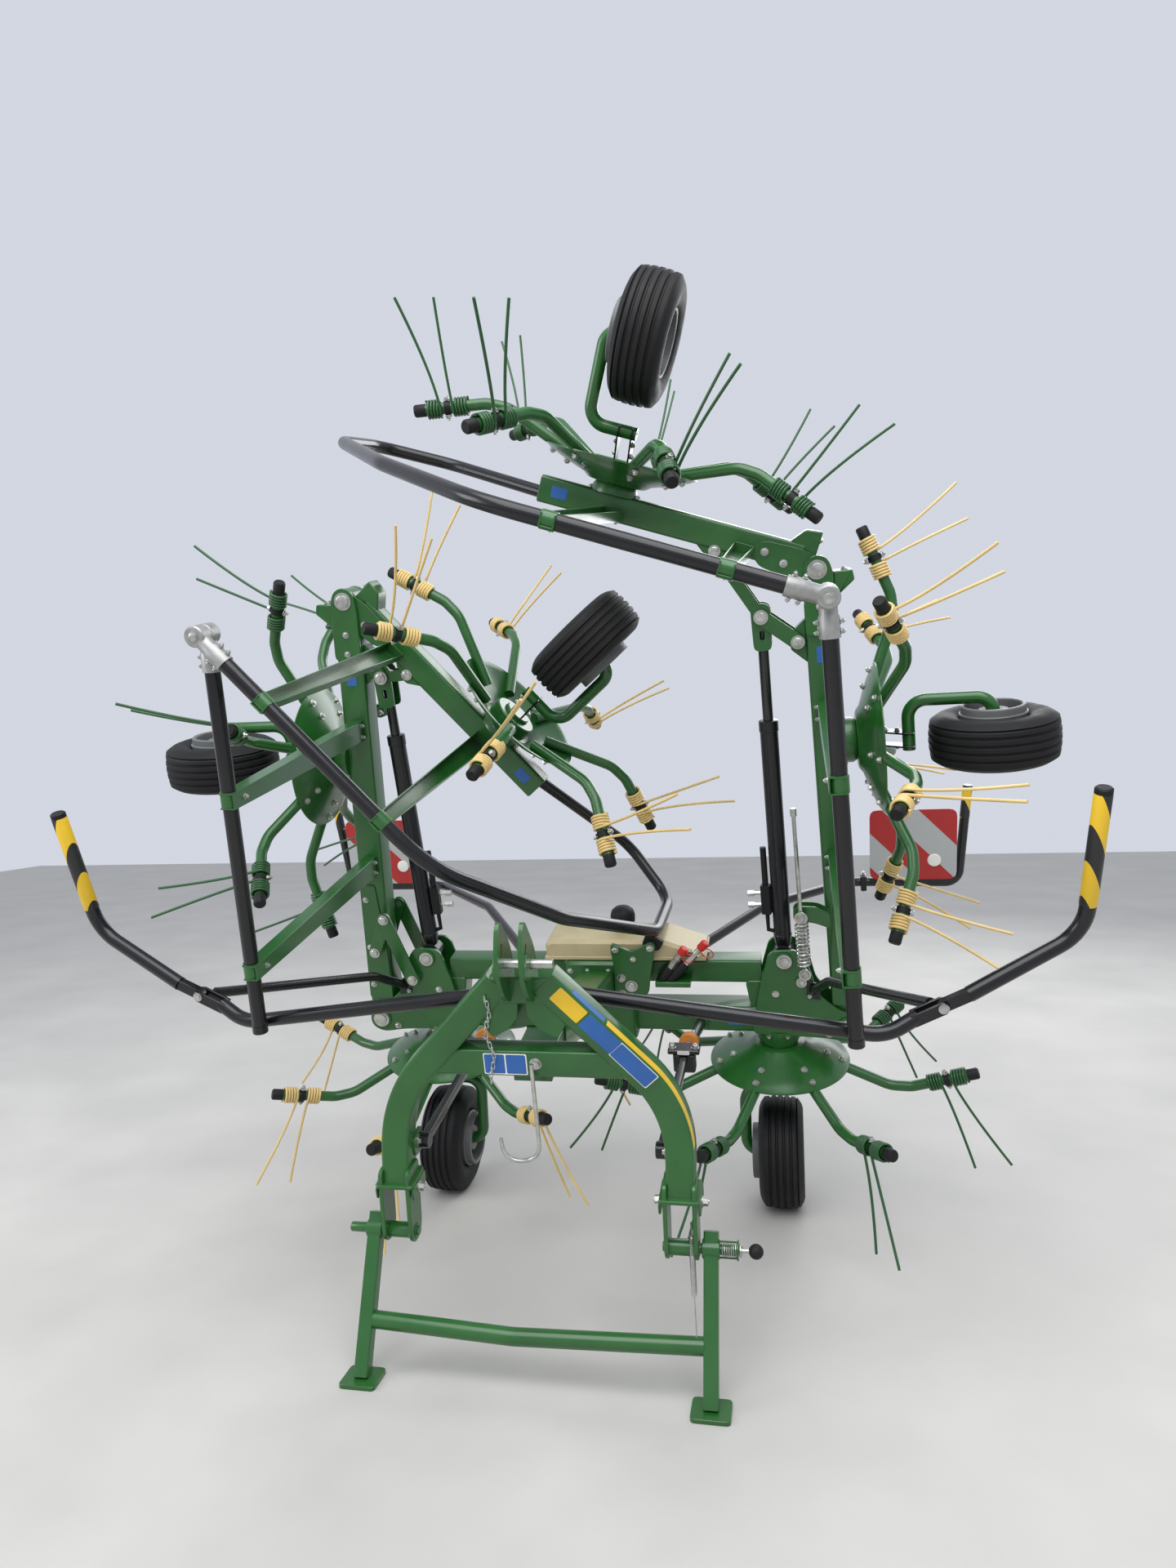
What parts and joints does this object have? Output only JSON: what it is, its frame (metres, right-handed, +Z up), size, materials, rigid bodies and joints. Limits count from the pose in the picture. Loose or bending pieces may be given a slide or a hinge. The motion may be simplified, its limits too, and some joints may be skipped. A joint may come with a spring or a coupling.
{
  "type": "mounted hay tedder with folding arms",
  "caption": "Mounted hay tedder folded for transport: hinged rotor arms, tine rotors, wheels, guards, hitch headstock and parking stand.",
  "frame": {"origin": "on the floor under the middle of the machine's box", "axes": "+Z up, +Y to the rear, away from the tractor, +X to the right of a viewer who faces the hitch from the tractor"},
  "size_m": [3.1674, 2.377, 3.3075],
  "materials": {
    "green_paint": "gloss",
    "green_tines": "satin",
    "cream_paint": "satin",
    "cream_plastic": "satin",
    "black_paint": "gloss",
    "black_steel": "gloss",
    "zinc_steel": "satin",
    "grey_paint": "satin",
    "tyre_rubber": "matt",
    "board_red_white": "satin"
  },
  "bodies": {
    "frame": {"wheel_leg_inner_left": "green_paint", "wheel_leg_inner_right": "green_paint", "centre_frame": "green_paint", "headstock": "green_paint", "hitch_pins": "zinc_steel", "front_guard": "black_paint", "damper_left": "black_paint", "damper_right": "black_paint", "gearbox_cover": "cream_plastic", "hydraulic_couplers": "zinc_steel", "board_carrier_left": "black_paint", "warning_board_left": "board_red_white", "board_carrier_right": "black_paint", "warning_board_right": "board_red_white"},
    "stand": {"stand": "green_paint"},
    "middle_arm_right": {"middle_arm_right": "green_paint", "middle_guard_right": "black_paint", "wheel_leg_mid_right": "green_paint"},
    "outer_arm_right": {"outer_arm_right": "green_paint", "outer_guard_right": "black_paint", "wheel_leg_outer_right": "green_paint"},
    "fold_barrel_right": {"fold_barrel_right": "black_paint"},
    "fold_rod_right": {"fold_rod_right": "black_steel"},
    "middle_arm_left": {"middle_arm_left": "green_paint", "middle_guard_left": "black_paint", "wheel_leg_mid_left": "green_paint"},
    "outer_arm_left": {"outer_arm_left": "green_paint", "outer_guard_left": "black_paint", "wheel_leg_outer_left": "green_paint"},
    "fold_barrel_left": {"fold_barrel_left": "black_paint"},
    "fold_rod_left": {"fold_rod_left": "black_steel"},
    "rotor_inner_right": {"rotor_inner_right": "green_paint", "tines_inner_right": "green_tines"},
    "wheel_inner_right": {"tyre_inner_right": "tyre_rubber", "rim_inner_right": "grey_paint"},
    "rotor_inner_left": {"rotor_inner_left": "green_paint", "tines_inner_left": "cream_paint"},
    "wheel_inner_left": {"tyre_inner_left": "tyre_rubber", "rim_inner_left": "grey_paint"},
    "rotor_mid_right": {"rotor_mid_right": "green_paint", "tines_mid_right": "cream_paint"},
    "wheel_mid_right": {"tyre_mid_right": "tyre_rubber", "rim_mid_right": "grey_paint"},
    "rotor_mid_left": {"rotor_mid_left": "green_paint", "tines_mid_left": "green_tines"},
    "wheel_mid_left": {"tyre_mid_left": "tyre_rubber", "rim_mid_left": "grey_paint"},
    "rotor_outer_right": {"rotor_outer_right": "green_paint", "tines_outer_right": "green_tines"},
    "wheel_outer_right": {"tyre_outer_right": "tyre_rubber", "rim_outer_right": "grey_paint"},
    "rotor_outer_left": {"rotor_outer_left": "green_paint", "tines_outer_left": "cream_paint"},
    "wheel_outer_left": {"tyre_outer_left": "tyre_rubber", "rim_outer_left": "grey_paint"},
    "guard_tip_right": {"front_guard_tip_right": "black_paint"},
    "guard_tip_left": {"front_guard_tip_left": "black_paint"}
  },
  "joints": [
    {"name": "fold_right_middle", "type": "hinge", "parent": "frame", "child": "middle_arm_right", "pos_m": [0.905, 0.2714, 0.71913], "axis": [0, 0.9703, 0.2419], "range_deg": [0, 92.6]},
    {"name": "fold_right_outer", "type": "hinge", "parent": "middle_arm_right", "child": "outer_arm_right", "pos_m": [0.83015, -0.12736, 2.31847], "axis": [0, 0.9703, 0.2419], "range_deg": [0, 68.5]},
    {"name": "cylinder_right_swing", "type": "hinge", "parent": "frame", "child": "fold_barrel_right", "pos_m": [0.684, 0.20802, 0.97334], "axis": [0, 0.9703, 0.2419], "range_deg": [0, 96.04]},
    {"name": "cylinder_right_stroke", "type": "slide", "parent": "fold_barrel_right", "child": "fold_rod_right", "axis": [-0.0326, -0.2418, 0.9698], "range_m": [0, 0.53135]},
    {"name": "fold_left_middle", "type": "hinge", "parent": "frame", "child": "middle_arm_left", "pos_m": [-0.905, 0.2714, 0.71913], "axis": [0, -0.9703, -0.2419], "range_deg": [0, 92.6]},
    {"name": "fold_left_outer", "type": "hinge", "parent": "middle_arm_left", "child": "outer_arm_left", "pos_m": [-0.83015, -0.12736, 2.31847], "axis": [0, -0.9703, -0.2419], "range_deg": [0, 137]},
    {"name": "cylinder_left_swing", "type": "hinge", "parent": "frame", "child": "fold_barrel_left", "pos_m": [-0.684, 0.20802, 0.97334], "axis": [0, -0.9703, -0.2419], "range_deg": [0, 91.79]},
    {"name": "cylinder_left_stroke", "type": "slide", "parent": "fold_barrel_left", "child": "fold_rod_left", "axis": [-0.0416, -0.2417, 0.9695], "range_m": [0, 0.66928]},
    {"name": "rotor_inner_right_turn", "type": "hinge", "parent": "frame", "child": "rotor_inner_right", "pos_m": [0.655, 0.31978, 0.52507], "axis": [0, -0.2419, 0.9703], "continuous": true},
    {"name": "wheel_inner_right_spin", "type": "hinge", "parent": "frame", "child": "wheel_inner_right", "pos_m": [0.655, 0.28878, 0.203], "axis": [1, 0, 0], "continuous": true},
    {"name": "rotor_inner_left_turn", "type": "hinge", "parent": "frame", "child": "rotor_inner_left", "pos_m": [-0.655, 0.31978, 0.52507], "axis": [0, -0.2419, 0.9703], "continuous": true},
    {"name": "wheel_inner_left_spin", "type": "hinge", "parent": "frame", "child": "wheel_inner_left", "pos_m": [-0.655, 0.28878, 0.203], "axis": [-1, 0, 0], "continuous": true},
    {"name": "rotor_mid_right_turn", "type": "hinge", "parent": "middle_arm_right", "child": "rotor_mid_right", "pos_m": [1.05671, 0.01303, 1.75538], "axis": [-0.999, 0.011, -0.044], "continuous": true},
    {"name": "wheel_mid_right_spin", "type": "hinge", "parent": "middle_arm_right", "child": "wheel_mid_right", "pos_m": [1.37838, -0.0953, 1.74343], "axis": [-0.0454, -0.2417, 0.9693], "continuous": true},
    {"name": "rotor_mid_left_turn", "type": "hinge", "parent": "middle_arm_left", "child": "rotor_mid_left", "pos_m": [-1.05671, 0.01303, 1.75538], "axis": [0.999, 0.011, -0.044], "continuous": true},
    {"name": "wheel_mid_left_spin", "type": "hinge", "parent": "middle_arm_left", "child": "wheel_mid_left", "pos_m": [-1.37838, -0.0953, 1.74343], "axis": [0.0454, -0.2417, 0.9693], "continuous": true},
    {"name": "rotor_outer_right_turn", "type": "hinge", "parent": "outer_arm_right", "child": "rotor_outer_right", "pos_m": [0.21375, -0.22956, 2.72836], "axis": [-0.3239, 0.2289, -0.918], "continuous": true},
    {"name": "wheel_outer_right_spin", "type": "hinge", "parent": "outer_arm_right", "child": "wheel_outer_right", "pos_m": [0.3255, -0.41331, 3.01893], "axis": [-0.9461, -0.0784, 0.3143], "continuous": true},
    {"name": "rotor_outer_left_turn", "type": "hinge", "parent": "outer_arm_left", "child": "rotor_outer_left", "pos_m": [-0.2112, -0.02607, 1.91222], "axis": [-0.7615, 0.1568, -0.6289], "continuous": true},
    {"name": "wheel_outer_left_spin", "type": "hinge", "parent": "outer_arm_left", "child": "wheel_outer_left", "pos_m": [0.05153, -0.18496, 2.10305], "axis": [0.6481, 0.1842, -0.7389], "continuous": true},
    {"name": "guard_tip_right_swing", "type": "hinge", "parent": "frame", "child": "guard_tip_right", "pos_m": [1.12, -0.70584, 1.00521], "axis": [0, 0.9703, 0.2419], "range_deg": [0, 140]},
    {"name": "guard_tip_left_swing", "type": "hinge", "parent": "frame", "child": "guard_tip_left", "pos_m": [-1.12, -0.70584, 1.00521], "axis": [0, -0.9703, -0.2419], "range_deg": [0, 140]},
    {"name": "stand_fold", "type": "hinge", "parent": "frame", "child": "stand", "pos_m": [0, -0.8636, 0.369], "axis": [1, 0, 0], "range_deg": [0, 90]}
  ],
  "couplings": [
    {"joint": "fold_right_outer", "follows": "fold_right_middle", "ratio": 0.73974},
    {"joint": "cylinder_right_swing", "follows": "fold_right_middle", "ratio": 1.0371},
    {"joint": "cylinder_right_stroke", "follows": "fold_right_middle", "m_per_rad": 0.32877},
    {"joint": "fold_left_middle", "follows": "fold_right_middle", "ratio": 1},
    {"joint": "fold_left_outer", "follows": "fold_right_middle", "ratio": 1.4795},
    {"joint": "cylinder_left_swing", "follows": "fold_right_middle", "ratio": 0.99123},
    {"joint": "cylinder_left_stroke", "follows": "fold_right_middle", "m_per_rad": 0.41411},
    {"joint": "rotor_inner_left_turn", "follows": "rotor_inner_right_turn", "ratio": -1},
    {"joint": "rotor_mid_right_turn", "follows": "rotor_inner_right_turn", "ratio": -1},
    {"joint": "rotor_mid_left_turn", "follows": "rotor_inner_right_turn", "ratio": 1},
    {"joint": "rotor_outer_right_turn", "follows": "rotor_inner_right_turn", "ratio": 1},
    {"joint": "rotor_outer_left_turn", "follows": "rotor_inner_right_turn", "ratio": -1},
    {"joint": "guard_tip_right_swing", "follows": "fold_right_middle", "ratio": 1.5119},
    {"joint": "guard_tip_left_swing", "follows": "fold_right_middle", "ratio": 1.5119}
  ]
}
